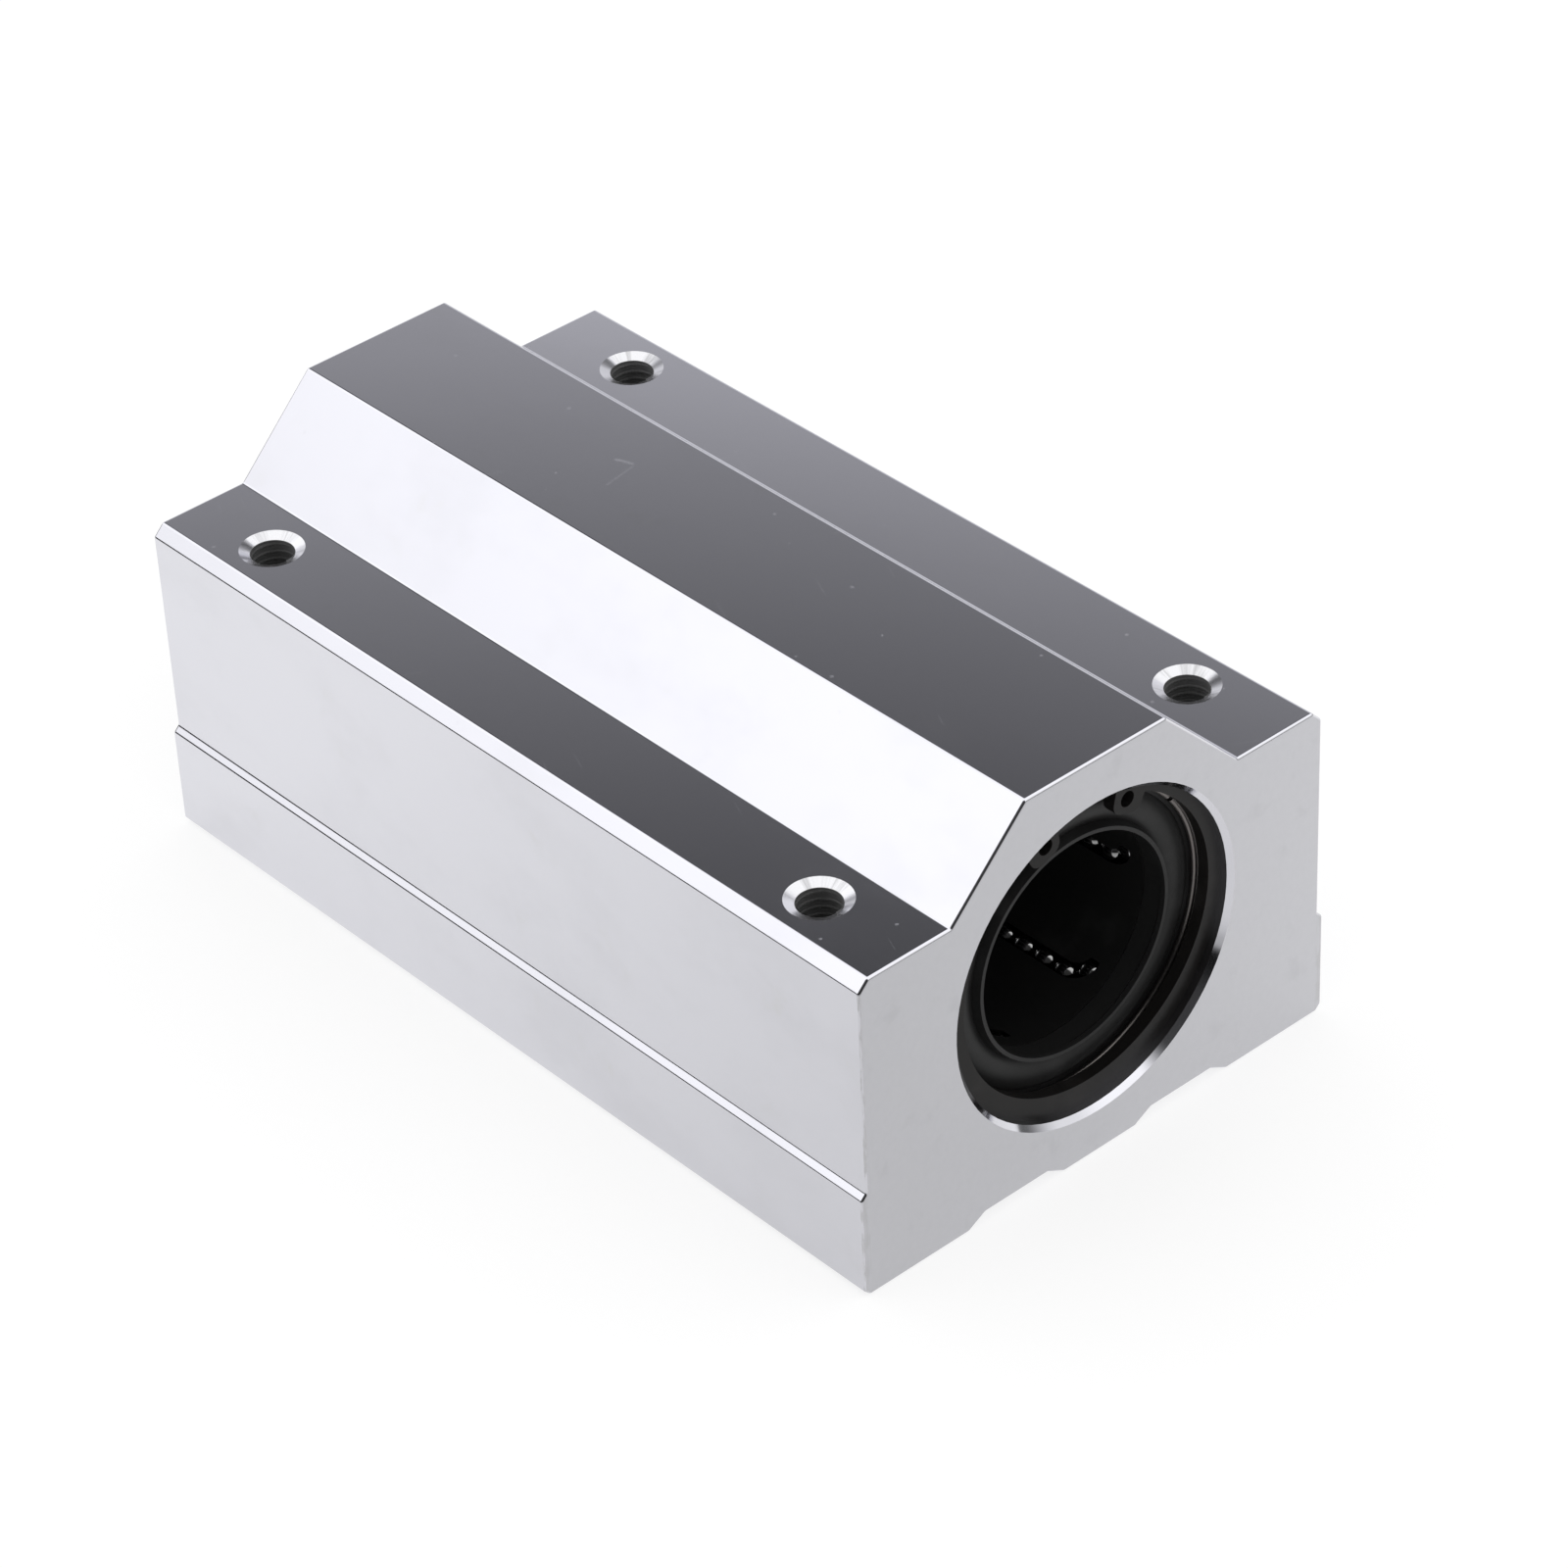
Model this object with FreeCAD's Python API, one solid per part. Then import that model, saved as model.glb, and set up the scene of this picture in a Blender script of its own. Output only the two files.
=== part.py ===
import FreeCAD, Part
import math
import os

# Linear bearing block: an aluminium housing on two closed ball bushings for a round shaft.
# Millimetres. +X runs along the shaft, +Y across the block, +Z up from the mounting base.
# The origin is at the middle of the base, and the bore axis lies at bore_height.

# Housing
base_width = 90.0
upper_width = 88.0
block_height = 68.0
shoulder_height = 54.0
bore_height = 34.0
ledge_height = 18.0
top_flat_width = 26.4
shoulder_chamfer = 1.8
base_chamfer = 1.0
end_edge_radius = 0.45
corner_radius = 0.6

# Reliefs that leave two feet and a narrow middle pad on the base
foot_inner_offset = 25.4
pad_half_width = 7.0
relief_depth = 1.7
relief_flank = 3.2

# Mounting holes: M8 tapped from the shoulder, given at the thread's core, and bored through to the base
hole_spacing_along = 120.0
hole_spacing_across = 70.0
tapped_diameter = 6.65
tapped_depth = 18.0
through_diameter = 7.0
countersink_diameter = 9.9
countersink_angle = 130.0

# Shaft and bushings
shaft_diameter = 35.0
bushing_diameter = 52.0
bushing_length = 70.0
bushing_fit = 0.02
spacer_length = 7.0
mouth_chamfer = 0.8

# Retaining rings that hold the bushings in the housing
ring_set_back = 2.0
ring_thickness = 2.0
ring_groove_width = 2.15
ring_groove_depth = 1.5
ring_seat_clearance = 0.05
ring_band_bottom = 5.05
ring_band_top = 2.75
ring_gap_half_angle = 13.0
lug_far_angle = 27.0
lug_reach = 6.2
lug_corner_radius = 1.8
lug_hole_diameter = 2.5
lug_hole_angle = 19.2
lug_hole_inset = 2.3

# Sleeve of a bushing
sleeve_groove_span = 49.5
sleeve_groove_width = 2.1
sleeve_groove_diameter = 49.0
sleeve_chamfer = 0.6
mouth_break = 0.2

# Balls and their circuits
circuit_count = 6
first_circuit_angle = 0.0
ball_diameter = 3.969
ball_clearance = 0.1
ball_gap = 0.03
race_clearance = 0.01
return_row_offset = 1.715
return_row_angle = 21.5
turn_end_wall = 1.2

# Ball cage
cage_shaft_clearance = 0.3
cage_race_clearance = 0.17
cage_end_clearance = 0.1

# Seals and the snap rings that hold them in a sleeve
seal_seat_diameter = 48.6
snap_edge = 0.85
snap_wire_diameter = 1.1
snap_seat_depth = 0.55
snap_seat_clearance = 0.05
snap_gap_angle = 2.2
snap_gap_direction = 51.8
seal_thickness = 3.0
seal_edge_clearance = 0.1
seal_bulge_diameter = 46.4
seal_bulge_rise = 0.7
lip_set_back = 0.5
lip_width = 0.8
lip_wall = 0.6
lip_flank = 0.4
lip_relief = 0.4

# Sizes that follow from the ones above
bore_radius = bushing_diameter / 2
shaft_radius = shaft_diameter / 2
ball_radius = ball_diameter / 2
channel_radius = ball_radius + ball_clearance
sleeve_radius = bore_radius - bushing_fit
race_radius = shaft_radius + ball_diameter + race_clearance
loaded_row_radius = (shaft_radius + race_radius) / 2
return_row_radius = loaded_row_radius + return_row_offset
recess_radius = return_row_radius + channel_radius + ball_clearance
cage_inner_radius = shaft_radius + cage_shaft_clearance
cage_outer_radius = race_radius - cage_race_clearance
seal_seat_radius = seal_seat_diameter / 2
seal_set_back = snap_edge + snap_wire_diameter
cage_length = bushing_length - 2 * (seal_set_back + seal_thickness + cage_end_clearance)
bushing_set_back = ring_set_back + ring_thickness
bushing_offset = (bushing_length + spacer_length) / 2
block_length = 2 * (bushing_set_back + bushing_length) + spacer_length
spacer_wall = bore_radius - recess_radius
overshoot = 1.0


def vec(x, y, z):
    return FreeCAD.Vector(x, y, z)


ORIGIN = vec(0, 0, 0)
ALONG = vec(1, 0, 0)
UP = vec(0, 0, 1)


def rod(radius, start, end):
    """A cylinder about the X axis from x = start to x = end."""
    return Part.makeCylinder(radius, end - start, vec(start, 0, 0), ALONG)


def tube(outer, inner, start, end):
    return rod(outer, start, end).cut(rod(inner, start - overshoot, end + overshoot))


def face_of(points):
    return Part.Face(Part.makePolygon(points + points[:1]))


def turned(profile):
    """A solid of revolution about the X axis from its (x, radius) outline."""
    outline = [vec(x, radius, 0) for x, radius in profile]
    return face_of(outline).revolve(ORIGIN, ALONG, 360)


def moved(shape, x=0.0, z=0.0):
    placed = shape.copy()
    placed.translate(vec(x, 0, z))
    return placed


def turned_about_shaft(shape, angle):
    placed = shape.copy()
    placed.rotate(ORIGIN, ALONG, angle)
    return placed


# ---------------------------------------------------------------- housing

def housing_half_outline():
    """The cross-section on the +Y side, from the middle of the base up to the middle of the top."""
    half_base = base_width / 2
    half_upper = upper_width / 2
    half_top = top_flat_width / 2
    ledge = half_base - half_upper
    slope_foot = half_top + block_height - shoulder_height
    return [
        (pad_half_width, 0),
        (pad_half_width + relief_flank, relief_depth),
        (foot_inner_offset - relief_flank, relief_depth),
        (foot_inner_offset, 0),
        (half_base - base_chamfer, 0),
        (half_base, base_chamfer),
        (half_base, ledge_height - ledge),
        (half_upper, ledge_height),
        (half_upper, shoulder_height - shoulder_chamfer),
        (half_upper - shoulder_chamfer, shoulder_height),
        (slope_foot, shoulder_height),
        (half_top, block_height),
    ]


def housing_blank():
    half = housing_half_outline()
    mirrored = [(-y, z) for y, z in reversed(half)]
    start = -block_length / 2
    section = face_of([vec(start, y, z) for y, z in half + mirrored])
    blank = section.extrude(vec(block_length, 0, 0))
    long_edges = [e for e in blank.Edges if e.BoundBox.XLength > block_length / 2]
    blank = blank.makeFillet(corner_radius, long_edges)
    end_edges = [e for e in blank.Edges if e.BoundBox.XLength < 0.001]
    return blank.makeFillet(end_edge_radius, end_edges)


def bore_cutter():
    """The bushing bore with its chamfered mouths and the two retaining ring grooves."""
    end = block_length / 2
    mouth = bore_radius + mouth_chamfer
    groove = bore_radius + ring_groove_depth
    groove_end = end - ring_set_back
    groove_start = groove_end - ring_groove_width
    outline = [
        (-end - overshoot, 0),
        (-end - overshoot, mouth),
        (-end, mouth),
        (-end + mouth_chamfer, bore_radius),
        (-groove_end, bore_radius),
        (-groove_end, groove),
        (-groove_start, groove),
        (-groove_start, bore_radius),
        (groove_start, bore_radius),
        (groove_start, groove),
        (groove_end, groove),
        (groove_end, bore_radius),
        (end - mouth_chamfer, bore_radius),
        (end, mouth),
        (end + overshoot, mouth),
        (end + overshoot, 0),
    ]
    return moved(turned(outline), z=bore_height)


def hole_cutter():
    """One mounting hole on the Z axis: clearance bore, tapped length and countersink."""
    tapped = tapped_diameter / 2
    through = through_diameter / 2
    countersink = countersink_diameter / 2
    countersink_depth = (countersink - tapped) / math.tan(math.radians(countersink_angle / 2))
    tap_end = shoulder_height - tapped_depth
    top = shoulder_height + overshoot
    outline = [
        (0, -overshoot),
        (through, -overshoot),
        (through, tap_end),
        (tapped, tap_end + (through - tapped)),
        (tapped, shoulder_height - countersink_depth),
        (countersink, shoulder_height),
        (countersink, top),
        (0, top),
    ]
    section = face_of([vec(radius, 0, z) for radius, z in outline])
    return section.revolve(ORIGIN, UP, 360)


def make_housing():
    body = housing_blank().cut(bore_cutter())
    for x in (-hole_spacing_along / 2, hole_spacing_along / 2):
        for y in (-hole_spacing_across / 2, hole_spacing_across / 2):
            hole = hole_cutter()
            hole.translate(vec(x, y, 0))
            body = body.cut(hole)
    return body


# ---------------------------------------------------------------- retaining ring

def sector(radius_inner, radius_outer, angle_start, angle_end, start, end):
    """Part of a flat ring about the X axis, its angles measured from +Z towards +Y."""
    block = tube(radius_outer, radius_inner, start, end)
    reach = 3 * radius_outer
    middle = (angle_start + angle_end) / 2
    half = math.radians((angle_end - angle_start) / 2)
    wedge = face_of([
        vec(start - overshoot, 0, 0),
        vec(start - overshoot, reach * math.sin(half), reach * math.cos(half)),
        vec(start - overshoot, -reach * math.sin(half), reach * math.cos(half)),
    ]).extrude(vec(end - start + 2 * overshoot, 0, 0))
    return block.common(turned_about_shaft(wedge, -middle))


def inner_corners(lug):
    """The two edges along X that a sector has nearest to the shaft axis."""
    along = [e for e in lug.Edges if e.BoundBox.XLength > ring_thickness / 2]
    straight = [e for e in along if e.BoundBox.DiagonalLength < 1.01 * ring_thickness]
    return sorted(straight, key=lambda e: math.hypot(e.CenterOfMass.y, e.CenterOfMass.z))[:2]


def make_retaining_ring(side):
    """An internal ring with an eccentric band, thickest away from its gap, and two plier lugs."""
    outer = bore_radius + ring_groove_depth - ring_seat_clearance
    inner = outer - (ring_band_bottom + ring_band_top) / 2
    rise = (ring_band_bottom - ring_band_top) / 2
    front = block_length / 2 - ring_set_back
    back = front - ring_thickness
    opening = moved(rod(inner, back - overshoot, front + overshoot), z=rise)
    ring = rod(outer, back, front).cut(opening)
    for sign in (-1, 1):
        angles = sorted((sign * ring_gap_half_angle, sign * lug_far_angle))
        lug = sector(outer - lug_reach, outer, angles[0], angles[1], back, front)
        ring = ring.fuse(lug.makeFillet(lug_corner_radius, inner_corners(lug)))
    gap = sector(bore_radius / 2, outer + overshoot, -ring_gap_half_angle, ring_gap_half_angle,
                 back - overshoot, front + overshoot)
    ring = ring.cut(gap)
    hole_radius = outer - lug_reach + lug_hole_inset
    hole_angle = math.radians(lug_hole_angle)
    for sign in (-1, 1):
        centre = vec(back - overshoot, sign * hole_radius * math.sin(hole_angle),
                     hole_radius * math.cos(hole_angle))
        length = ring_thickness + 2 * overshoot
        ring = ring.cut(Part.makeCylinder(lug_hole_diameter / 2, length, centre, ALONG))
    ring = ring.removeSplitter()
    if side < 0:
        ring = ring.mirror(ORIGIN, ALONG)
    return moved(ring, z=bore_height)


# ---------------------------------------------------------------- ball circuits

def circuit_rows():
    """The loaded and return row centres of the circuit at angle 0, as (Y, Z) pairs."""
    angle = math.radians(return_row_angle)
    loaded = (loaded_row_radius, 0.0)
    returning = (return_row_radius * math.cos(angle), return_row_radius * math.sin(angle))
    return loaded, returning


def row_spacing():
    loaded, returning = circuit_rows()
    return math.hypot(returning[0] - loaded[0], returning[1] - loaded[1])


def row_half_length():
    """Half the straight length of a row, between the two turns at the ends of the cage."""
    return cage_length / 2 - turn_end_wall - channel_radius - row_spacing() / 2


def racetrack(section):
    """Sweeps a section, drawn in the plane x = 0 about (y, z) = (0, 0), round the closed path of one
    circuit: two straight rows along X joined by half-circle turns, in the plane z = 0."""
    half_length = row_half_length()
    half_spacing = row_spacing() / 2
    body = None
    for side in (-1, 1):
        row = section.copy()
        row.translate(vec(-half_length, side * half_spacing, 0))
        row = row.extrude(vec(2 * half_length, 0, 0))
        turn = section.copy()
        turn.translate(vec(side * half_length, -side * half_spacing, 0))
        turn = turn.revolve(vec(side * half_length, 0, 0), UP, 180)
        body = row.fuse(turn) if body is None else body.fuse([row, turn])
    return body.removeSplitter()


def seated_circuit(shape, index):
    """Moves a racetrack from its own plane to circuit number index of a bushing centred on x = 0."""
    loaded, returning = circuit_rows()
    towards_loaded = (loaded[0] - returning[0], loaded[1] - returning[1])
    tilt = math.degrees(math.atan2(towards_loaded[1], towards_loaded[0]))
    placed = turned_about_shaft(shape, tilt)
    placed.translate(vec(0, (loaded[0] + returning[0]) / 2, (loaded[1] + returning[1]) / 2))
    return turned_about_shaft(placed, first_circuit_angle + index * 360 / circuit_count)


def circuit_point(distance):
    """The (x, y) place of a ball centre, that far round the closed path of a racetrack."""
    half_length = row_half_length()
    half_spacing = row_spacing() / 2
    straight = 2 * half_length
    turn = math.pi * half_spacing
    if distance < straight:
        return distance - half_length, half_spacing
    if distance < straight + turn:
        angle = (distance - straight) / half_spacing
        return half_length + half_spacing * math.sin(angle), half_spacing * math.cos(angle)
    x, y = circuit_point(distance - straight - turn)
    return -x, -y


def ball_train():
    """The separate balls of one circuit, spread evenly round its closed path."""
    path_length = 4 * row_half_length() + math.pi * row_spacing()
    count = int(path_length / (ball_diameter + ball_gap))
    balls = []
    for index in range(count):
        x, y = circuit_point(index * path_length / count)
        balls.append(Part.makeSphere(ball_radius, vec(x, y, 0)))
    return Part.makeCompound(balls)


def ball_channel():
    """The room that one circuit needs in the cage: open outwards, with sloped floor corners that
    narrow the slot to the shaft to less than a ball."""
    floor = channel_radius * math.tan(math.radians(22.5))
    top = race_radius - loaded_row_radius + channel_radius
    outline = [
        (-channel_radius, top),
        (-channel_radius, -floor),
        (-floor, -channel_radius),
        (floor, -channel_radius),
        (channel_radius, -floor),
        (channel_radius, top),
    ]
    return racetrack(face_of([vec(0, y, z) for y, z in outline]))


# ---------------------------------------------------------------- bushing pieces, centred on x = 0

def make_sleeve():
    """The hardened outer cylinder: raceways in its middle, relieved for the return rows and turns."""
    end = bushing_length / 2
    recess = recess_radius
    land = row_half_length()
    seat_end = end - seal_set_back - seal_thickness
    snap_outer = end - snap_edge
    snap_inner = snap_outer - snap_wire_diameter
    snap_seat = seal_seat_radius + snap_seat_depth
    groove_outer = sleeve_groove_span / 2
    groove_inner = groove_outer - sleeve_groove_width
    groove_radius = sleeve_groove_diameter / 2
    half = [
        (end - mouth_break, seal_seat_radius),
        (end, seal_seat_radius + mouth_break),
        (end, sleeve_radius - sleeve_chamfer),
        (end - sleeve_chamfer, sleeve_radius),
        (groove_outer, sleeve_radius),
        (groove_outer, groove_radius),
        (groove_inner, groove_radius),
        (groove_inner, sleeve_radius),
    ]
    bore = [
        (land, race_radius),
        (land, recess),
        (seat_end, recess),
        (seat_end, seal_seat_radius),
        (snap_inner, seal_seat_radius),
        (snap_inner, snap_seat),
        (snap_outer, snap_seat),
        (snap_outer, seal_seat_radius),
    ]
    mirrored_half = [(-x, radius) for x, radius in reversed(half)]
    mirrored_bore = [(-x, radius) for x, radius in reversed(bore)]
    sleeve = turned(half + mirrored_half + mirrored_bore + bore)
    relief_radius = recess_radius - return_row_radius
    _, returning = circuit_rows()
    relief = Part.makeCylinder(relief_radius, 2 * land, vec(-land, returning[0], returning[1]), ALONG)
    for index in range(circuit_count):
        angle = first_circuit_angle + index * 360 / circuit_count
        sleeve = sleeve.cut(turned_about_shaft(relief, angle))
    return sleeve


def make_cage():
    half = cage_length / 2
    cage = tube(cage_outer_radius, cage_inner_radius, -half, half)
    channel = ball_channel()
    for index in range(circuit_count):
        cage = cage.cut(seated_circuit(channel, index))
    return cage


def make_balls(index):
    return seated_circuit(ball_train(), index)


def make_seal(side):
    """A wiping seal: a disc behind the snap ring, with a round bulge in its face and a lip on the shaft."""
    end = bushing_length / 2
    front = end - seal_set_back
    back = front - seal_thickness
    lip_front = end - lip_set_back
    lip_back = lip_front - lip_width
    collar = shaft_radius + lip_relief
    rim = shaft_radius + lip_wall
    trough = rim + lip_flank
    bulge_edge = seal_bulge_diameter / 2
    crest = vec(front + seal_bulge_rise, (trough + bulge_edge) / 2, 0)
    edge = seal_seat_radius - seal_edge_clearance
    bulge = Part.Arc(vec(front, trough, 0), crest, vec(front, bulge_edge, 0)).toShape()
    around = [
        (front, bulge_edge),
        (front, edge),
        (back, edge),
        (back, collar),
        (lip_back - lip_relief, collar),
        (lip_back, shaft_radius),
        (lip_front, shaft_radius),
        (lip_front, rim),
        (front, trough),
    ]
    rest = Part.makePolygon([vec(x, radius, 0) for x, radius in around])
    section = Part.Face(Part.Wire([bulge] + rest.Edges))
    seal = section.revolve(ORIGIN, ALONG, 360)
    if side < 0:
        seal = seal.mirror(ORIGIN, ALONG)
    return seal


def make_snap_ring(side):
    """The round wire ring, open at one place, that holds a seal in the sleeve."""
    wire = snap_wire_diameter / 2
    middle = bushing_length / 2 - snap_edge - wire
    seat = seal_seat_radius + snap_seat_depth - snap_seat_clearance
    centre = vec(side * middle, 0, seat - wire)
    section = Part.Face(Part.Wire([Part.makeCircle(wire, centre, vec(0, 1, 0))]))
    ring = section.revolve(ORIGIN, ALONG, 360 - snap_gap_angle)
    return turned_about_shaft(ring, snap_gap_angle / 2 - snap_gap_direction)


def make_spacer():
    """The ring that keeps the two bushings apart in the middle of the housing."""
    half = spacer_length / 2
    return moved(tube(sleeve_radius, sleeve_radius - spacer_wall, -half, half), z=bore_height)


# ---------------------------------------------------------------- assembly

def bushing_pieces(name, side):
    """All the pieces of one bushing in the housing. Its outer end faces the block's own end."""
    place = side * bushing_offset
    pieces = {
        "bushing_sleeve_" + name: make_sleeve(),
        "ball_cage_" + name: make_cage(),
        "shaft_seal_" + name + "_outer": make_seal(side),
        "shaft_seal_" + name + "_inner": make_seal(-side),
        "snap_ring_" + name + "_outer": make_snap_ring(side),
        "snap_ring_" + name + "_inner": make_snap_ring(-side),
    }
    for index in range(circuit_count):
        pieces["ball_circuit_" + name + "_" + str(index + 1)] = make_balls(index)
    return {node: moved(shape, x=place, z=bore_height) for node, shape in pieces.items()}


def all_pieces():
    pieces = {
        "housing": make_housing(),
        "retaining_ring_front": make_retaining_ring(1),
        "retaining_ring_rear": make_retaining_ring(-1),
        "spacer_ring": make_spacer(),
    }
    pieces.update(bushing_pieces("front", 1))
    pieces.update(bushing_pieces("rear", -1))
    return pieces


os.makedirs("parts", exist_ok=True)
for node, shape in all_pieces().items():
    shape.exportStep(os.path.join("parts", node + ".step"))
    print(node, len(shape.Solids), shape.isValid(), round(shape.Volume, 1))
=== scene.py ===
import math

import bmesh
import bpy
from mathutils import Matrix, Vector


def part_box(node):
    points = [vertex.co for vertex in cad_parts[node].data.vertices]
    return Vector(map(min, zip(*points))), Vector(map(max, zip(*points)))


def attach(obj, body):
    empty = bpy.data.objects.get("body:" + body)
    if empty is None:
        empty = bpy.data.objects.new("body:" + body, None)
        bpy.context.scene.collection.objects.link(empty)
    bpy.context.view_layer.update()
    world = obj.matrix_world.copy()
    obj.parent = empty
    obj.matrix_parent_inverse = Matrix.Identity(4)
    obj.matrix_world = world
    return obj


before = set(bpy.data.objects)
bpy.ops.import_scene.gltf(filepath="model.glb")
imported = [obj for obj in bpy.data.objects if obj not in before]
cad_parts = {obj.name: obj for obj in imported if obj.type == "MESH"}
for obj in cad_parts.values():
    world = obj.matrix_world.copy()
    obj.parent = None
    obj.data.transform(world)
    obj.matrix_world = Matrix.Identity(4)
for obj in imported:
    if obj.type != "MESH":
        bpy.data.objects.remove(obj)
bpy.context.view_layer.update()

# Linear bearing block: an aluminium housing on a long base, two ball bushings end to end in its
# bore, and a retaining ring, a shaft seal and a snap wire at each mouth. Lengths are in metres.
# +X runs along the shaft to the front mouth, +Z is up, and the base stands on z = 0.

MM = 0.001
BLOCK_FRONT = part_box("housing")[1].x
SHOULDER_HEIGHT = 54 * MM
SIDE_FACE = 44 * MM

# Mounting holes, tapped from above
HOLE_SPACING_X = 120 * MM
HOLE_SPACING_Y = 70 * MM
TAPPED_RADIUS = 3.325 * MM
TAPPED_DEPTH = 18 * MM
COUNTERSINK_DEPTH = 0.758 * MM

# Thread ridge: how far its crest stands in from the hole's wall and its root is let into it
THREAD_PITCH = 1.25 * MM
THREAD_RIDGE = 0.07 * MM
THREAD_BEDDING = 0.05 * MM
# Half its height along the hole, at its root and at its crest
THREAD_ROOT_HALF = 0.40 * THREAD_PITCH
THREAD_CREST_HALF = 0.07 * THREAD_PITCH
# How far its middle starts below the countersink and ends above the tapped length's end
THREAD_RUN_IN = 0.2 * THREAD_PITCH
THREAD_RUN_OUT = 0.4 * THREAD_PITCH
# It grows over this many turns at each end, from this share of its depth
THREAD_GROWTH = 0.5
THREAD_STUB = 0.05
# Straight runs in one turn
THREAD_STEPS = 40

# Masks round the mounting holes: the radius that each stays within, and what the walls' mask
# leaves free under the countersink and over the base's face
HOLE_WALL_REACH = 3.6 * MM
SINK_RADIUS = 5.1 * MM
SINK_END_MARGIN = 0.05 * MM
BASE_MARGIN = 0.2 * MM
# A face that points further up than this is the shoulder's flat, not its countersink
SHOULDER_UPWARD = 0.97
# Streaks round a countersink: their number a turn, and a shift that makes each hole's own
STREAK_TURN = 2.2
STREAK_SHIFT_X = 50.0
STREAK_SHIFT_Y = 70.0
STREAK_RANGE = (0.50, 0.72)

# Start, end, width and strength of each scratch, in millimetres
SCRATCHES = (
    ((-24.8, 2.9, 68), (-22.3, 3.8, 68), 0.55, 0.8),
    ((-21.7, 3.4, 68), (-20.7, -2.4, 68), 0.30, 0.6),
    ((-9.0, -5.5, 68), (-9.3, -2.6, 68), 0.30, 0.25),
    ((-64.6, -45, 14.6), (-63.7, -45, 12.6), 0.45, 0.8),
)
# Share of a scratch's width that has its full strength
SCRATCH_CORE = 0.3
# Turn in degrees and share of the cells with a line, for each family of hairlines
HAIRLINES = ((24, 0.05), (-61, 0.03))
HAIRLINE_CELLS = (110, 1900, 1900)
HAIRLINE_RADIUS = 0.30
HAIRLINE_STRENGTH = 0.35

# Wear of the upright edges: the distances from the edge at which it is full and ends
WEAR_FULL = 0.20 * MM
WEAR_REACH = 0.85 * MM
WEAR_CELLS = (1300, 1300, 260)
WEAR_RANGE = (0.42, 0.66)

CAMERA_PLACE = Vector((0.50488, -0.41676, 0.50150))
CAMERA_AIM = Vector((0.00917, 0.00290, 0.02699))
CAMERA_ROLL = math.radians(-2.91)
CAMERA_LENS = 126.36
CAMERA_NEAR = 0.01


# ---------------------------------------------------------------- node helpers

def add_node(tree, kind, inputs=(), **settings):
    """One node. inputs gives a value or another node's output for each named or numbered socket."""
    node = tree.nodes.new(kind)
    for name, value in settings.items():
        setattr(node, name, value)
    for socket, value in dict(inputs).items():
        if isinstance(value, bpy.types.NodeSocket):
            tree.links.new(value, node.inputs[socket])
        else:
            node.inputs[socket].default_value = value
    return node


def calc(tree, operation, *values, clamp=False):
    """A sum on one to three numbers."""
    inputs = enumerate(values)
    return add_node(tree, "ShaderNodeMath", inputs, operation=operation, use_clamp=clamp).outputs[0]


def vector_calc(tree, operation, *values):
    """A sum on one or two vectors, as the node's outputs."""
    return add_node(tree, "ShaderNodeVectorMath", enumerate(values), operation=operation).outputs


def along(tree, vector, direction):
    """How far a vector reaches in a direction."""
    return vector_calc(tree, "DOT_PRODUCT", vector, direction)["Value"]


def split(tree, vector):
    """A vector's outputs X, Y and Z."""
    return add_node(tree, "ShaderNodeSeparateXYZ", {0: vector}).outputs


def fade(tree, value, start, end, low=0.0, high=1.0):
    """low before start, high after end, and a smooth change between them."""
    inputs = {"Value": value, "From Min": start, "From Max": end, "To Min": low, "To Max": high}
    return add_node(tree, "ShaderNodeMapRange", inputs, interpolation_type="SMOOTHSTEP").outputs[0]


def blend_colour(tree, amount, first, second):
    """first where amount is 0 and second where it is 1."""
    node = add_node(tree, "ShaderNodeMix", {0: amount, 6: first, 7: second}, data_type="RGBA")
    return node.outputs[2]


def blend_value(tree, amount, first, second):
    """first where amount is 0 and second where it is 1."""
    return add_node(tree, "ShaderNodeMix", {0: amount, 2: first, 3: second}).outputs[0]


def stretched(tree, vector, scale):
    """The coordinates multiplied by one number along each axis."""
    return vector_calc(tree, "MULTIPLY", vector, scale)[0]


def noise(tree, vector, scale=1.0, detail=2.0, roughness=0.5):
    """Cloudy noise from 0 to 1."""
    inputs = {"Vector": vector, "Scale": scale, "Detail": detail, "Roughness": roughness}
    return add_node(tree, "ShaderNodeTexNoise", inputs).outputs[0]


def grey(level, tint=0.0):
    """A colour of that level; a tint above zero makes it cooler and one below zero warmer."""
    if tint < 0:
        return (level * (1 - tint), level, level * (1 + tint / 2), 1.0)
    return (level * (1 - tint / 2), level * (1 - tint / 2), level * (1 + tint), 1.0)


def new_material(name):
    """An empty material, its node tree and the object's own coordinates."""
    material = bpy.data.materials.new(name)
    material.use_nodes = True
    tree = material.node_tree
    tree.nodes.clear()
    place = add_node(tree, "ShaderNodeTexCoord").outputs["Object"]
    return material, tree, place


def close_material(tree, inputs):
    """Puts a surface shader with these inputs on the material's output."""
    shader = add_node(tree, "ShaderNodeBsdfPrincipled", inputs)
    add_node(tree, "ShaderNodeOutputMaterial", {"Surface": shader.outputs[0]})


def bump(tree, height, distance):
    """A normal bent by a height from 0 to 1 that stands for distance in metres."""
    return add_node(tree, "ShaderNodeBump", {"Height": height, "Distance": distance}).outputs[0]


# ---------------------------------------------------------------- marks on the housing

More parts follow.
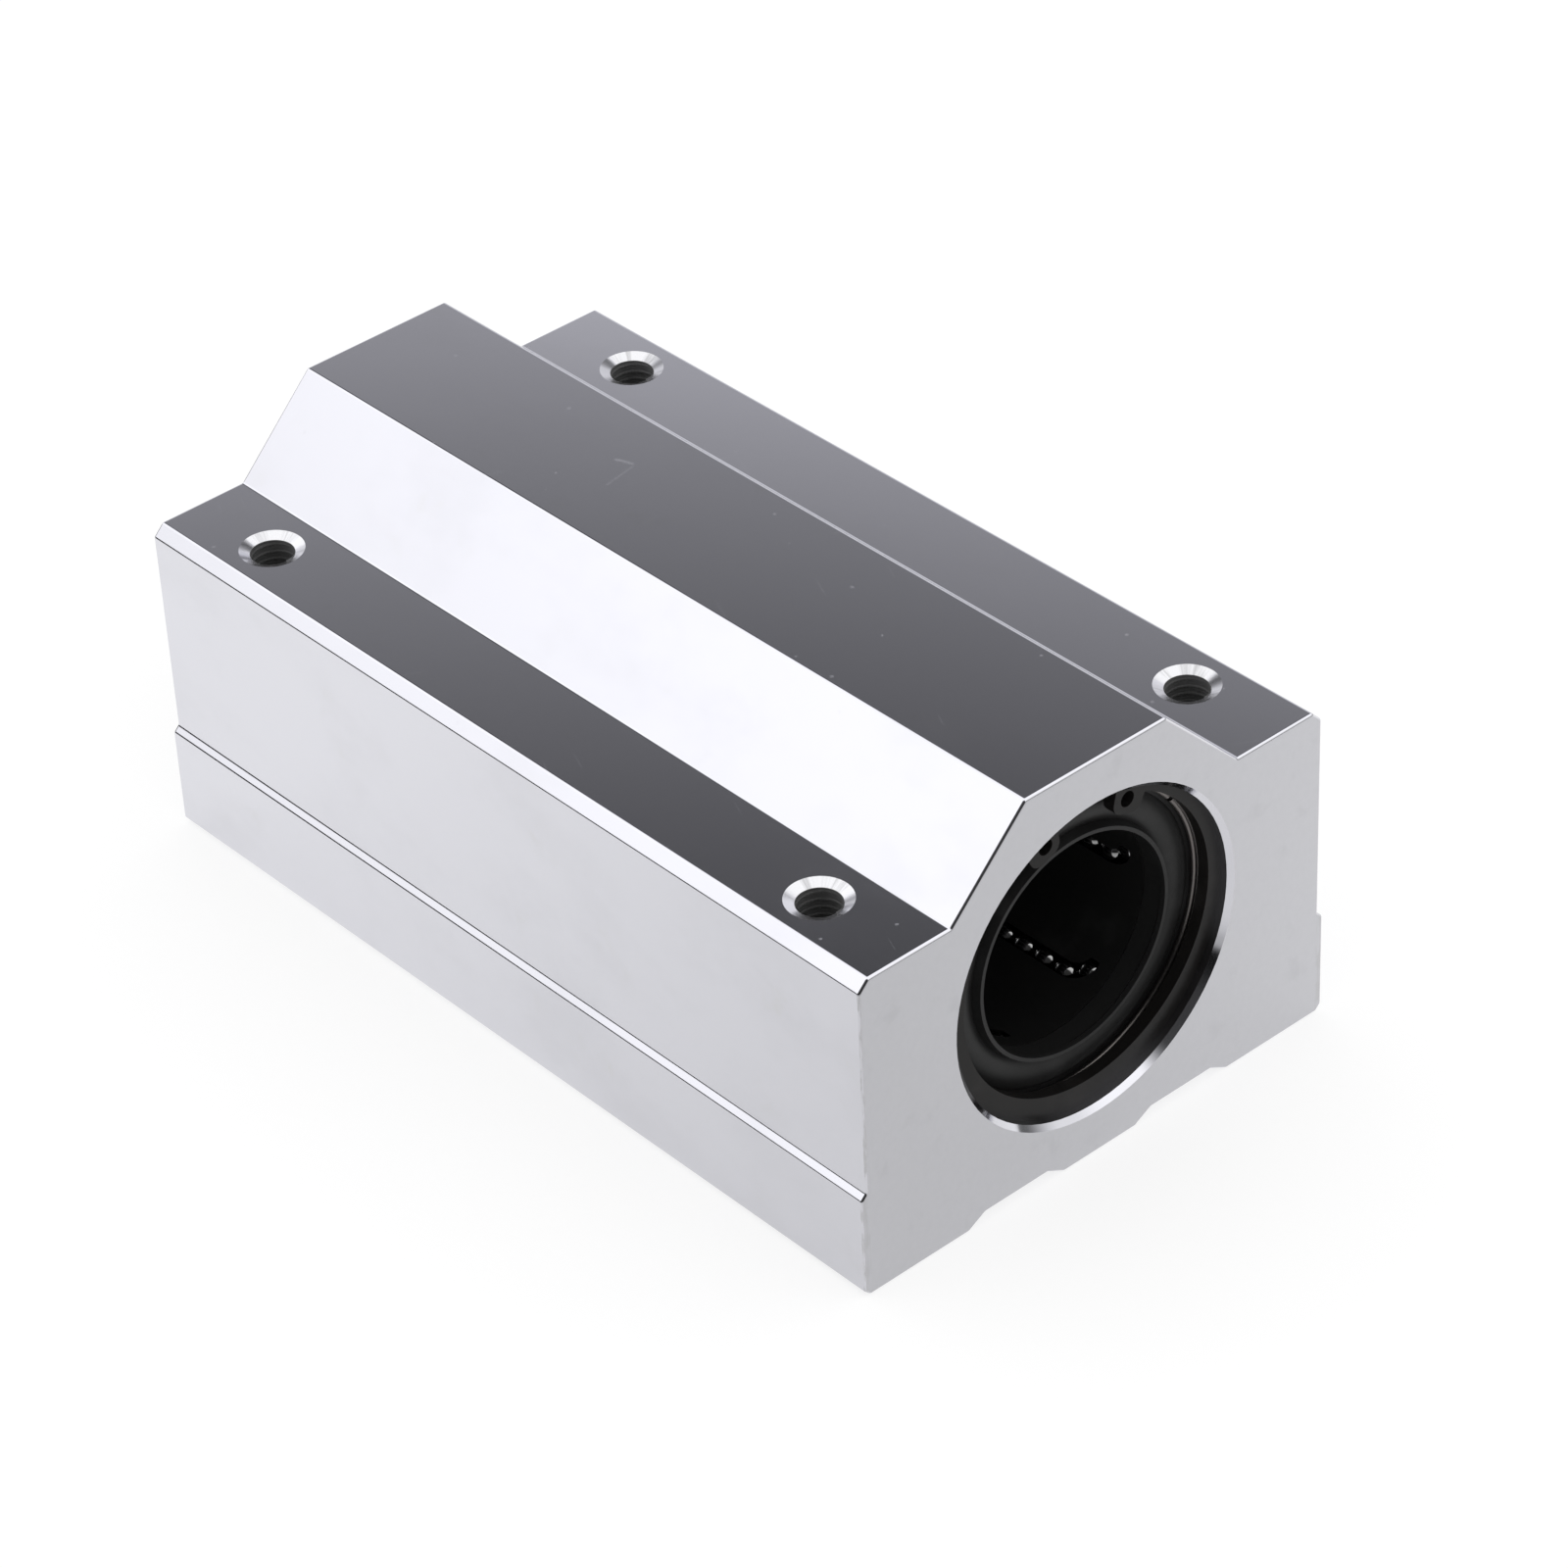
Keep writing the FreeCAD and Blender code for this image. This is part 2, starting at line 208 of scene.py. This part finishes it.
def speckle(tree, place, scale, share, radius):
    """1 in small round spots, in that share of the cells of a grid of scale cells a metre."""
    cells = add_node(tree, "ShaderNodeTexVoronoi", {"Vector": place, "Scale": scale})
    chosen = add_node(tree, "ShaderNodeSeparateColor", {0: cells.outputs["Color"]})
    kept = calc(tree, "LESS_THAN", chosen.outputs[0], share)
    size = calc(tree, "MULTIPLY", chosen.outputs[1], radius)
    spot = calc(tree, "LESS_THAN", cells.outputs["Distance"], size)
    return calc(tree, "MULTIPLY", spot, kept)


def hole_masks(tree, place, upward):
    """Three masks over the mounting holes: their walls, which take a painted shade, their countersinks
    and streaks round those.
    """
    at = split(tree, place)
    across = calc(tree, "SUBTRACT", calc(tree, "ABSOLUTE", at["X"]), HOLE_SPACING_X / 2)
    aside = calc(tree, "SUBTRACT", calc(tree, "ABSOLUTE", at["Y"]), HOLE_SPACING_Y / 2)
    squares = calc(tree, "MULTIPLY_ADD", across, across, calc(tree, "MULTIPLY", aside, aside))
    radius = calc(tree, "SQRT", squares)
    sink_end = SHOULDER_HEIGHT - COUNTERSINK_DEPTH - SINK_END_MARGIN

    below = calc(tree, "LESS_THAN", at["Z"], sink_end)
    shaded_walls = calc(tree, "MULTIPLY", below, calc(tree, "LESS_THAN", radius, HOLE_WALL_REACH))
    ridge = calc(tree, "LESS_THAN", radius, TAPPED_RADIUS + THREAD_BEDDING)
    shaded_walls = calc(tree, "MAXIMUM", shaded_walls, ridge)
    shaded_walls = calc(tree, "MULTIPLY", shaded_walls, calc(tree, "GREATER_THAN", at["Z"], BASE_MARGIN))

    sloped = calc(tree, "LESS_THAN", upward, SHOULDER_UPWARD)
    sinks = calc(tree, "MULTIPLY", calc(tree, "LESS_THAN", radius, SINK_RADIUS), sloped)
    sinks = calc(tree, "MULTIPLY", sinks, calc(tree, "GREATER_THAN", at["Z"], sink_end))

    turn = calc(tree, "MULTIPLY", calc(tree, "ARCTAN2", aside, across), STREAK_TURN)
    shift = calc(tree, "MULTIPLY", at["Y"], STREAK_SHIFT_Y)
    shift = calc(tree, "MULTIPLY_ADD", at["X"], STREAK_SHIFT_X, shift)
    round_it = add_node(tree, "ShaderNodeCombineXYZ", {0: turn, 1: shift}).outputs[0]
    streaks = fade(tree, noise(tree, round_it, detail=3, roughness=0.6), *STREAK_RANGE)
    return shaded_walls, sinks, streaks


def scratch(tree, place, start, end, width):
    """1 along a straight scratch and 0 beyond its width, both given in millimetres."""
    start = Vector(start) * MM
    line = Vector(end) * MM - start
    offset = vector_calc(tree, "SUBTRACT", place, start)[0]
    share = calc(tree, "ADD", along(tree, offset, line / line.length_squared), 0.0, clamp=True)
    nearest = vector_calc(tree, "MULTIPLY", line, share)[0]
    gap = vector_calc(tree, "DISTANCE", offset, nearest)["Value"]
    return fade(tree, gap, width * MM * SCRATCH_CORE, width * MM, 1.0, 0.0)


def scratches(tree, place):
    """The hooked scratch on the top flat and a few lighter ones, as strengths from 0 to 1."""
    total = 0.0
    for start, end, width, strength in SCRATCHES:
        total = calc(tree, "MULTIPLY_ADD", scratch(tree, place, start, end, width), strength, total)
    return total


def hairlines(tree, place):
    """Short fine lines in a few directions, as strengths from 0 to 1."""
    total = 0.0
    for turn, share in HAIRLINES:
        inputs = {"Vector": place, "Axis": (0.0, 0.0, 1.0), "Angle": math.radians(turn)}
        turned = add_node(tree, "ShaderNodeVectorRotate", inputs).outputs[0]
        cells = stretched(tree, turned, HAIRLINE_CELLS)
        lines = speckle(tree, cells, 1.0, share, HAIRLINE_RADIUS)
        total = calc(tree, "MULTIPLY_ADD", lines, HAIRLINE_STRENGTH, total)
    return total


def edge_wear(tree, place):
    """1 in small chips along the upright edges of the end faces."""
    at = split(tree, place)
    from_end = calc(tree, "SUBTRACT", BLOCK_FRONT, calc(tree, "ABSOLUTE", at["X"]))
    from_side = calc(tree, "SUBTRACT", SIDE_FACE, calc(tree, "ABSOLUTE", at["Y"]))
    reach = calc(tree, "MAXIMUM", from_end, from_side)
    close = fade(tree, reach, WEAR_FULL, WEAR_REACH, 1.0, 0.0)
    chips = noise(tree, stretched(tree, place, WEAR_CELLS), detail=3, roughness=0.6)
    return fade(tree, calc(tree, "MULTIPLY", chips, close), *WEAR_RANGE)


# ---------------------------------------------------------------- materials

# Aluminium: base colours of drawn flats, milled end faces and turned countersinks, and a painted shade
# for the tapped holes' walls
DRAWN_CLEAN = grey(0.735, 0.04)
DRAWN_SMUDGED = grey(0.700, 0.04)
DRAWN_STAINED = grey(0.685, 0.02)
MILLED_CLEAN = grey(0.625, 0.03)
MILLED_MOTTLED = grey(0.595, 0.03)
MILLED_STAINED = grey(0.575, 0.03)
WORN_EDGE = grey(0.56, 0.02)
TURNED_CLEAN = grey(0.74, 0.02)
TURNED_STREAK = grey(0.48, 0.02)
# Painted shade: a dark grey on the tapped holes' walls and thread ridges, standing in for the shade
# down the holes
HOLE_WALL_PAINTED_SHADE = grey(0.28)

# Aluminium: roughness, and what each kind of mark adds to it
DRAWN_ROUGHNESS = 0.075
SMUDGE_ROUGHNESS = 0.05
SPECK_ROUGHNESS = 0.16
SCRATCH_ROUGHNESS = 0.20
MILLED_ROUGHNESS = 0.30
MOTTLE_ROUGHNESS = 0.06
TURNED_ROUGHNESS = 0.16
STREAK_ROUGHNESS = 0.12
HOLE_WALL_ROUGHNESS = 0.70

# Aluminium: cells a metre of its patterns, and where a noise starts and ends to count as a mark
DRAWN_LINE_CELLS = (12, 2600, 2600)
CLOUD_CELLS = (38, 60, 60)
BLOT_CELLS = 170
MOTTLE_CELLS = 900
SPECK_CELLS = 420
SPECK_SHARE = 0.10
SPECK_RADIUS = 0.15
SMUDGE_RANGE = (0.42, 0.75)
STAIN_RANGE = (0.56, 0.78)
END_FACE_RANGE = (0.85, 0.95)
MOTTLE_RELIEF = 0.3
ALUMINIUM_RELIEF = 0.4e-6

# Steel and black pieces: broad cells a metre, relief in metres, and levels against the plain one
STEEL_CLOUD_CELLS = 120
STEEL_RELIEF = 1e-6
STEEL_DARK = 0.8
STEEL_LIGHT = 1.2
BLACK_CLOUD_CELLS = 110
BLACK_DARK = 0.7
BLACK_LIGHT = 1.2
BLACK_DUSTY = 1.9
BLACK_ROUGHNESS_SPREAD = 0.20
DUST_RANGE = (0.52, 0.78)


def aluminium():
    """Drawn and polished flats, milled end faces, with light handling marks, and painted shade down
    the tapped holes.
    """
    material, tree, place = new_material("housing_aluminium_finish")
    facing = split(tree, add_node(tree, "ShaderNodeTexCoord").outputs["Normal"])
    end_face = fade(tree, calc(tree, "ABSOLUTE", facing["X"]), *END_FACE_RANGE)

    drawn_lines = noise(tree, stretched(tree, place, DRAWN_LINE_CELLS), detail=3)
    clouds = noise(tree, stretched(tree, place, CLOUD_CELLS), detail=4, roughness=0.6)
    blots = noise(tree, place, scale=BLOT_CELLS, detail=4, roughness=0.6)
    mottle = noise(tree, place, scale=MOTTLE_CELLS, detail=3, roughness=0.65)
    specks = speckle(tree, place, SPECK_CELLS, SPECK_SHARE, SPECK_RADIUS)
    marks = calc(tree, "ADD", scratches(tree, place), hairlines(tree, place))
    shaded_walls, sinks, streaks = hole_masks(tree, place, facing["Z"])
    smudge = fade(tree, clouds, *SMUDGE_RANGE)
    stain = fade(tree, blots, *STAIN_RANGE)

    drawn = blend_colour(tree, smudge, DRAWN_CLEAN, DRAWN_SMUDGED)
    drawn = blend_colour(tree, calc(tree, "MULTIPLY", stain, smudge), drawn, DRAWN_STAINED)
    milled = blend_colour(tree, mottle, MILLED_CLEAN, MILLED_MOTTLED)
    milled = blend_colour(tree, stain, milled, MILLED_STAINED)
    turned = blend_colour(tree, streaks, TURNED_CLEAN, TURNED_STREAK)
    colour = blend_colour(tree, end_face, drawn, milled)
    colour = blend_colour(tree, edge_wear(tree, place), colour, WORN_EDGE)
    colour = blend_colour(tree, sinks, colour, turned)
    # Painted shade: the tapped holes' walls and thread ridges take a dark grey
    colour = blend_colour(tree, shaded_walls, colour, HOLE_WALL_PAINTED_SHADE)

    drawn = calc(tree, "MULTIPLY_ADD", smudge, SMUDGE_ROUGHNESS, DRAWN_ROUGHNESS)
    drawn = calc(tree, "MULTIPLY_ADD", specks, SPECK_ROUGHNESS, drawn)
    drawn = calc(tree, "MULTIPLY_ADD", marks, SCRATCH_ROUGHNESS, drawn)
    milled = calc(tree, "MULTIPLY_ADD", mottle, MOTTLE_ROUGHNESS, MILLED_ROUGHNESS)
    turned = calc(tree, "MULTIPLY_ADD", streaks, STREAK_ROUGHNESS, TURNED_ROUGHNESS)
    roughness = blend_value(tree, end_face, drawn, milled)
    roughness = blend_value(tree, sinks, roughness, turned)
    roughness = blend_value(tree, shaded_walls, roughness, HOLE_WALL_ROUGHNESS)

    relief = calc(tree, "MULTIPLY_ADD", mottle, MOTTLE_RELIEF, drawn_lines)
    close_material(tree, {
        "Base Color": colour,
        "Metallic": 1.0,
        "Roughness": roughness,
        "Normal": bump(tree, relief, ALUMINIUM_RELIEF),
    })
    return material


def steel(name, level, tint, roughness, spread, grain):
    """Bare steel. spread is how much its roughness varies, and grain its cells a metre."""
    material, tree, place = new_material(name)
    fine = noise(tree, place, scale=grain, detail=3, roughness=0.6)
    broad = noise(tree, place, scale=STEEL_CLOUD_CELLS, detail=2)
    tone = calc(tree, "MULTIPLY_ADD", fine, 0.5, calc(tree, "MULTIPLY", broad, 0.5))
    dark, light = grey(level * STEEL_DARK, tint), grey(level * STEEL_LIGHT, tint)
    close_material(tree, {
        "Base Color": blend_colour(tree, tone, dark, light),
        "Metallic": 1.0,
        "Roughness": calc(tree, "MULTIPLY_ADD", tone, spread, roughness - spread / 2),
        "Normal": bump(tree, fine, STEEL_RELIEF),
    })
    return material


def dull_black(name, level, tint, shine, roughness, grain, depth):
    """Black rubber, moulded resin or blackened steel, with a little dust.

    grain is the cells a metre of its surface, and depth their height."""
    material, tree, place = new_material(name)
    fine = noise(tree, place, scale=grain, detail=3, roughness=0.6)
    broad = noise(tree, place, scale=BLACK_CLOUD_CELLS, detail=4, roughness=0.6)
    dust = fade(tree, broad, *DUST_RANGE)
    clean = blend_colour(tree, fine, grey(level * BLACK_DARK, tint), grey(level * BLACK_LIGHT, tint))
    spread = BLACK_ROUGHNESS_SPREAD
    close_material(tree, {
        "Base Color": blend_colour(tree, dust, clean, grey(level * BLACK_DUSTY, tint)),
        "Roughness": calc(tree, "MULTIPLY_ADD", broad, spread, roughness - spread / 2),
        "Specular IOR Level": shine,
        "Normal": bump(tree, fine, depth),
    })
    return material


def finishes():
    """A material for each finish slot that the CAD nodes' materials are named after."""
    return {
        "housing_aluminium": aluminium(),
        "ring_steel": dull_black(
            "ring_steel_finish",
            level=0.007, tint=-0.10, shine=0.17, roughness=0.34, grain=1600, depth=1e-6),
        "bearing_steel": steel(
            "bearing_steel_finish",
            level=0.5, tint=0.01, roughness=0.26, spread=0.10, grain=2400),
        "ball_steel": steel(
            "ball_steel_finish",
            level=0.34, tint=0.0, roughness=0.05, spread=0.02, grain=3000),
        "spring_steel": steel(
            "spring_steel_finish",
            level=0.17, tint=-0.08, roughness=0.34, spread=0.10, grain=2000),
        "cage_resin": dull_black(
            "cage_resin_finish",
            level=0.008, tint=0.0, shine=0.35, roughness=0.42, grain=2200, depth=4e-6),
        "seal_rubber": dull_black(
            "seal_rubber_finish",
            level=0.012, tint=0.0, shine=0.30, roughness=0.50, grain=1800, depth=6e-6),
    }


def dress_nodes(materials):
    """Gives each CAD node the finish of its slot, which its packed material is named after."""
    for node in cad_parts.values():
        for held in node.material_slots:
            held.material = materials[held.material.name.split(".")[0]]


# ---------------------------------------------------------------- added pieces

def add_object(name, data):
    """An object in the scene that shows this mesh or camera."""
    piece = bpy.data.objects.new(name, data)
    bpy.context.scene.collection.objects.link(piece)
    return piece


def thread_section(centre, turn, middle, grown):
    """The corners of the ridge's section at that turn and height; grown is its share of full depth."""
    root = TAPPED_RADIUS + THREAD_BEDDING
    crest = root - (THREAD_BEDDING + THREAD_RIDGE) * grown
    corners = [
        (root, THREAD_ROOT_HALF),
        (crest, THREAD_CREST_HALF),
        (crest, -THREAD_CREST_HALF),
        (root, -THREAD_ROOT_HALF),
    ]
    x, y = centre
    return [
        (x + math.cos(turn) * radius, y + math.sin(turn) * radius, middle + rise)
        for radius, rise in corners
    ]


def thread_ridge(name, centre, material):
    """The helical ridge of a tapped hole, bedded a little in the hole's wall."""
    top = SHOULDER_HEIGHT - COUNTERSINK_DEPTH - THREAD_RUN_IN
    bottom = SHOULDER_HEIGHT - TAPPED_DEPTH + THREAD_RUN_OUT
    count = round((top - bottom) / THREAD_PITCH * THREAD_STEPS)
    mesh = bmesh.new()
    rings = []
    for i in range(count + 1):
        turns_to_end = min(i, count - i) / THREAD_STEPS
        grown = min(1.0, turns_to_end / THREAD_GROWTH + THREAD_STUB)
        middle = top - (top - bottom) * i / count
        section = thread_section(centre, math.tau * i / THREAD_STEPS, middle, grown)
        rings.append([mesh.verts.new(corner) for corner in section])
    for here, after in zip(rings, rings[1:]):
        for k in range(len(here)):
            following = (k + 1) % len(here)
            mesh.faces.new((here[k], here[following], after[following], after[k]))
    mesh.faces.new(rings[0])
    mesh.faces.new(list(reversed(rings[-1])))
    bmesh.ops.recalc_face_normals(mesh, faces=mesh.faces)
    data = bpy.data.meshes.new(name)
    mesh.to_mesh(data)
    mesh.free()
    data.materials.append(material)
    piece = add_object(name, data)
    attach(piece, "root")


def add_threads(material):
    """A thread ridge in each of the four tapped holes."""
    for end, x in (("front", HOLE_SPACING_X / 2), ("rear", -HOLE_SPACING_X / 2)):
        for side, y in (("left", -HOLE_SPACING_Y / 2), ("right", HOLE_SPACING_Y / 2)):
            thread_ridge(f"thread_{end}_{side}", (x, y), material)


# ---------------------------------------------------------------- studio

# Directions are azimuths in degrees, counted from +X towards +Y, or an azimuth and an elevation.

# White floor
FLOOR_SIZE = 8.0
FLOOR_DROP = 0.2 * MM
FLOOR_GLOW = 0.72
FLOOR_PAPER = grey(0.32)
# Mirrored, it dims towards the camera in steps: start, end and the share left after each
CAMERA_SIDE = -40
FLOOR_STEPS = ((-0.03, 0.12, 0.80), (0.10, 0.26, 0.60), (0.25, 0.8, 0.35))
# Mirrored, it also dims all round between two distances, down to a last level
FLOOR_NEAR = 0.3
FLOOR_FAR = 1.6
FLOOR_FAR_LEVEL = 0.3

# Dark card behind the object: where it stands and how far round it reaches
CARD_DISTANCE = 0.5
CARD_HEIGHT = 0.72
CARD_DIRECTION = 140
CARD_START = 90
CARD_END = 178
CARD_STEPS = 24
CARD_COLOUR = (0.97, 0.97, 1.02, 1)
# Its glow is exp(gain + fall * height + slant * way along the card), up to a brightest level
CARD_FALL = -9.04
CARD_SLANT = 1.8
CARD_GAIN = 2.13
CARD_BRIGHTEST = 0.8
# It is dimmer below a height, turns into the ceiling above another, and fades out at its ends
CARD_FOOT = 0.12
CARD_FOOT_LEVEL = 0.55
CARD_CEILING_START = 0.57
CARD_LEFT_FADE = (0.30, 0.38)
CARD_RIGHT_FADE = (-0.25, -0.31)

# Softbox on the left: its place, its size, and its glow's start, end and levels up its height
SOFTBOX_DIRECTION = -139
SOFTBOX_WIDTH = 1.0
SOFTBOX_HEIGHT = 0.6
SOFTBOX_LIFT = 0.12
SOFTBOX_COLOUR = (0.99, 0.99, 1, 1)
SOFTBOX_FADE = (0.05, 0.30, 1.15, 1.38)
# Dark gap card under it: its place and size, its glow, and the clouds in that
GAP_DIRECTION = -130
GAP_DISTANCE = 0.45
GAP_WIDTH = 0.9
GAP_HEIGHT = 0.17
GAP_GLOW = 0.02
GAP_CLOUDS = 0.05
GAP_CLOUD_CELLS = 6

# Mirrored sky: dim at the horizon and brighter overhead, by the height of a direction
HORIZON_LEVEL = 0.15
HORIZON_START = 0.05
HORIZON_END = 0.34
CEILING_START = 0.42
CEILING_END = 0.60
CEILING = 1.3
# The dark side of the studio round the camera, with its dark and clear radius in degrees
FLAG_DIRECTION = (-50, 15)
FLAG_DARK = 40
FLAG_CLEAR = 58
FLAG_LEVEL = 0.05

WHITE = (1, 1, 1, 1)


def direction_of(azimuth, elevation=0):
    """The unit vector that points that way, in degrees."""
    a, e = math.radians(azimuth), math.radians(elevation)
    return (math.cos(a) * math.cos(e), math.sin(a) * math.cos(e), math.sin(e))


def if_mirrored(tree, level):
    """A level for what mirrored surfaces see, and 1 for everything else."""
    mirrored = add_node(tree, "ShaderNodeLightPath").outputs["Is Glossy Ray"]
    return blend_value(tree, mirrored, 1.0, level)


def emitter(tree, colour, strength):
    """A plain glowing shader."""
    return add_node(tree, "ShaderNodeEmission", {"Color": colour, "Strength": strength}).outputs[0]


def light_up(card, material, tree, colour, strength):
    """Gives a card a material that glows."""
    add_node(tree, "ShaderNodeOutputMaterial", {"Surface": emitter(tree, colour, strength)})
    card.data.materials.append(material)


def panel(name, width, height, place, azimuth, tilt=0.0):
    """A rectangle that stands in that direction from the object and faces it, unless tilted."""
    data = bpy.data.meshes.new(name)
    left, right = -width / 2, width / 2
    corners = [(left, 0, 0), (right, 0, 0), (right, 0, height), (left, 0, height)]
    data.from_pydata(corners, [], [(0, 1, 2, 3)])
    piece = add_object(name, data)
    piece.location = place
    piece.rotation_euler = (math.radians(tilt), 0, math.radians(azimuth - 90))
    return piece


def curved_panel(name, radius, start, end, height):
    """An upright card bent round the object, from one azimuth to another."""
    data = bpy.data.meshes.new(name)
    corners = []
    for i in range(CARD_STEPS + 1):
        x, y, _ = direction_of(start + (end - start) * i / CARD_STEPS)
        corners += [(x * radius, y * radius, 0), (x * radius, y * radius, height)]
    faces = [(2 * i, 2 * i + 2, 2 * i + 3, 2 * i + 1) for i in range(CARD_STEPS)]
    data.from_pydata(corners, [], faces)
    piece = add_object(name, data)
    return piece


def reflected_only(piece):
    """Shows a card in mirrored surfaces alone."""
    piece.visible_camera = False
    piece.visible_diffuse = False
    piece.visible_transmission = False
    piece.visible_shadow = False


def add_floor():
    """White paper that glows and keeps a shadow, and is dimmer where metal mirrors it."""
    place = (0, -FLOOR_SIZE / 2, -FLOOR_DROP)
    floor = panel("floor", FLOOR_SIZE, FLOOR_SIZE, place, 90, tilt=-90)
    material, tree, _ = new_material("floor_paper")
    position = add_node(tree, "ShaderNodeNewGeometry").outputs["Position"]
    distance = along(tree, position, direction_of(CAMERA_SIDE))
    seen = 1.0
    for start, end, level in FLOOR_STEPS:
        seen = calc(tree, "MULTIPLY", seen, fade(tree, distance, start, end, 1.0, level))
    reach = vector_calc(tree, "LENGTH", position)["Value"]
    far = fade(tree, reach, FLOOR_NEAR, FLOOR_FAR, 1.0, FLOOR_FAR_LEVEL)
    seen = if_mirrored(tree, calc(tree, "MULTIPLY", seen, far))
    glow = emitter(tree, WHITE, calc(tree, "MULTIPLY", seen, FLOOR_GLOW))
    paper = blend_colour(tree, seen, grey(0.0), FLOOR_PAPER)
    matt = add_node(tree, "ShaderNodeBsdfDiffuse", {"Color": paper}).outputs[0]
    both = add_node(tree, "ShaderNodeAddShader", {0: glow, 1: matt}).outputs[0]
    add_node(tree, "ShaderNodeOutputMaterial", {"Surface": both})
    floor.data.materials.append(material)


def add_dark_card():
    """The dark band of the studio behind the object, which its flat top faces mirror.

    It darkens upwards, then gives way to the lit ceiling, and fades out at both ends."""
    card = curved_panel("dark_card", CARD_DISTANCE, CARD_START, CARD_END, CARD_HEIGHT)
    reflected_only(card)
    material, tree, place = new_material("dark_card_paper")
    height = split(tree, place)["Z"]
    aside = along(tree, place, direction_of(CARD_DIRECTION - 90))
    fall = calc(tree, "MULTIPLY_ADD", height, CARD_FALL, CARD_GAIN)
    fall = calc(tree, "EXPONENT", calc(tree, "MULTIPLY_ADD", aside, CARD_SLANT, fall))
    foot = fade(tree, height, 0.0, CARD_FOOT, CARD_FOOT_LEVEL, 1.0)
    glow = calc(tree, "MULTIPLY", calc(tree, "MINIMUM", fall, CARD_BRIGHTEST), foot)
    glow = calc(tree, "ADD", glow, fade(tree, height, CARD_CEILING_START, CARD_HEIGHT, 0.0, CEILING))
    ends = calc(tree, "ADD", fade(tree, aside, *CARD_LEFT_FADE), fade(tree, aside, *CARD_RIGHT_FADE))
    light_up(card, material, tree, CARD_COLOUR, blend_value(tree, ends, glow, 1.0))


def add_softbox():
    """The softbox that the left slope and the shoulder's edge mirror."""
    away = Vector(direction_of(SOFTBOX_DIRECTION)) * CARD_DISTANCE
    foot = away + Vector((0, 0, SOFTBOX_LIFT))
    card = panel("softbox", SOFTBOX_WIDTH, SOFTBOX_HEIGHT, foot, SOFTBOX_DIRECTION)
    reflected_only(card)
    material, tree, place = new_material("softbox_cloth")
    glow = fade(tree, split(tree, place)["Z"], *SOFTBOX_FADE)
    light_up(card, material, tree, SOFTBOX_COLOUR, glow)


def add_gap_card():
    """The dark gap between the floor and the softbox, which draws thin lines along rounded edges."""
    away = Vector(direction_of(GAP_DIRECTION)) * GAP_DISTANCE
    card = panel("gap_card", GAP_WIDTH, GAP_HEIGHT, away, GAP_DIRECTION)
    reflected_only(card)
    material, tree, place = new_material("gap_card_paper")
    cloudy = noise(tree, place, scale=GAP_CLOUD_CELLS, detail=2)
    light_up(card, material, tree, WHITE, calc(tree, "MULTIPLY_ADD", cloudy, GAP_CLOUDS, GAP_GLOW))


def add_world():
    """White all round. Mirrored surfaces see a dim horizon, a lit ceiling and a dark flag."""
    world = bpy.data.worlds.new("studio")
    bpy.context.scene.world = world
    world.use_nodes = True
    tree = world.node_tree
    tree.nodes.clear()
    towards = add_node(tree, "ShaderNodeTexCoord").outputs["Generated"]
    height = split(tree, towards)["Z"]
    level = fade(tree, height, HORIZON_START, HORIZON_END, HORIZON_LEVEL, 1.0)
    ceiling = fade(tree, height, CEILING_START, CEILING_END, 1.0, CEILING)
    level = calc(tree, "MULTIPLY", level, ceiling)
    near = along(tree, towards, direction_of(*FLAG_DIRECTION))
    clear, dark = (math.cos(math.radians(angle)) for angle in (FLAG_CLEAR, FLAG_DARK))
    level = calc(tree, "MULTIPLY", level, fade(tree, near, clear, dark, 1.0, FLAG_LEVEL))
    inputs = {"Color": WHITE, "Strength": if_mirrored(tree, level)}
    background = add_node(tree, "ShaderNodeBackground", inputs).outputs[0]
    add_node(tree, "ShaderNodeOutputWorld", {"Surface": background})


def add_camera():
    """The camera at the photographed angle."""
    data = bpy.data.cameras.new("camera")
    data.lens = CAMERA_LENS
    data.clip_start = CAMERA_NEAR
    camera = add_object("camera", data)
    level = (CAMERA_AIM - CAMERA_PLACE).to_track_quat("-Z", "Y").to_matrix()
    turned = level @ Matrix.Rotation(CAMERA_ROLL, 3, "Z")
    camera.matrix_world = Matrix.Translation(CAMERA_PLACE) @ turned.to_4x4()
    bpy.context.scene.camera = camera


def add_studio():
    """Floor, cards, world and camera."""
    add_floor()
    add_dark_card()
    add_softbox()
    add_gap_card()
    add_world()
    add_camera()
    bpy.context.scene.view_settings.view_transform = "Standard"


materials = finishes()
dress_nodes(materials)
add_threads(materials["housing_aluminium"])
add_studio()
